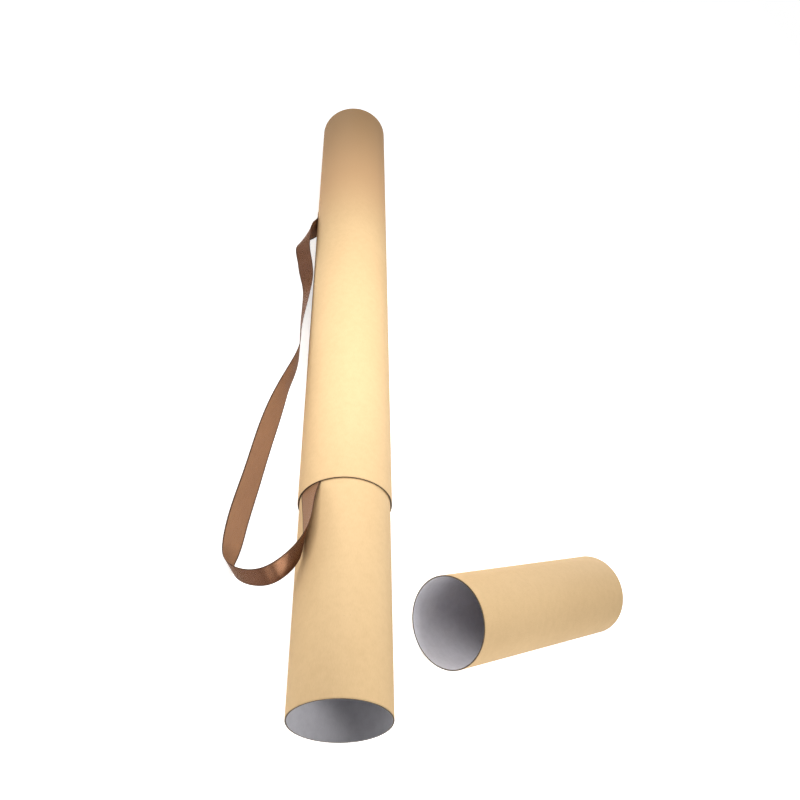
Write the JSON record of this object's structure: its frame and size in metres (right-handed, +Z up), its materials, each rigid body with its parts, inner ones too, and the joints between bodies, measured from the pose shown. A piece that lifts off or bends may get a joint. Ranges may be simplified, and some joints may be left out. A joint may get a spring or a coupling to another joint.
{
  "type": "poster tube",
  "caption": "Long round cardboard poster tube with a neck, a brown ribbon carrying strap and a deep slip-on cap, which is taken off and lies beside it.",
  "frame": {"origin": "centre of the neck's mouth, on the tube's axis", "axes": "+Y along the tube from its mouth to its closed end, +Z up from the floor that the tube and the cap lie on, and +X to the side where the cap lies"},
  "size_m": [0.4413, 0.793, 0.08],
  "materials": {
    "kraft": "matte",
    "neck": "matte",
    "disc": "matte",
    "ribbon": "satin"
  },
  "bodies": {
    "root": {"body_tube": "kraft", "neck_tube": "neck", "base_disc": "disc", "cap_tube": "kraft", "cap_disc": "disc", "strap": "ribbon"}
  },
  "joints": []
}
